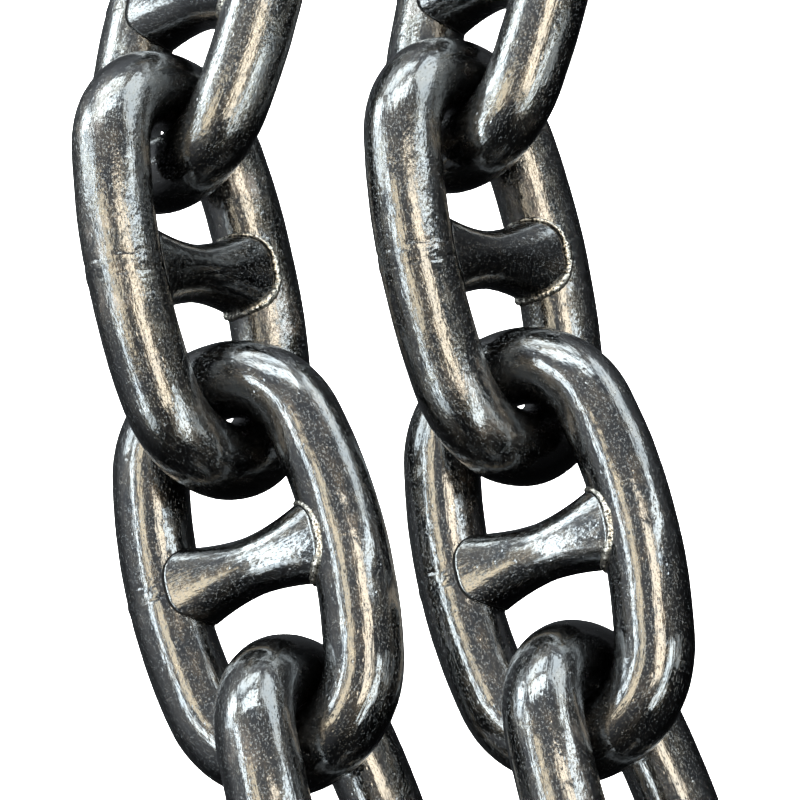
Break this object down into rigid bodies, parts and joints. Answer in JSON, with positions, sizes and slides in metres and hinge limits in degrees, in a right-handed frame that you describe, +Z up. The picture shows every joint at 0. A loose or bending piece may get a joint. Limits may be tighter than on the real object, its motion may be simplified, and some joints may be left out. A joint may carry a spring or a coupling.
{
  "type": "anchor chain",
  "caption": "Two strands of heavy studded anchor chain in black paint, lying side by side on the floor.",
  "frame": {"origin": "middle of the two strands' footprint, on the floor", "axes": "+Y along the strands towards the picture's top, +X to its right, +Z up"},
  "size_m": [0.7496, 1.9214, 0.2411],
  "materials": {
    "link_paint": "glossy black bitumen paint over hot-formed steel, thin and brown to golden along the tops",
    "stud_paint": "black bitumen paint over a forged stud, rubbed grey on top"
  },
  "bodies": {
    "root": {"right_link_1": "link_paint", "right_link_2": "link_paint", "right_link_3": "link_paint", "right_link_4": "link_paint", "right_link_5": "link_paint", "right_link_6": "link_paint", "left_link_1": "link_paint", "left_link_2": "link_paint", "left_link_3": "link_paint", "left_link_4": "link_paint", "left_link_5": "link_paint", "left_link_6": "link_paint", "right_stud_1": "stud_paint", "right_stud_2": "stud_paint", "right_stud_3": "stud_paint", "right_stud_4": "stud_paint", "right_stud_5": "stud_paint", "right_stud_6": "stud_paint", "left_stud_1": "stud_paint", "left_stud_2": "stud_paint", "left_stud_3": "stud_paint", "left_stud_4": "stud_paint", "left_stud_5": "stud_paint", "left_stud_6": "stud_paint"}
  },
  "joints": []
}
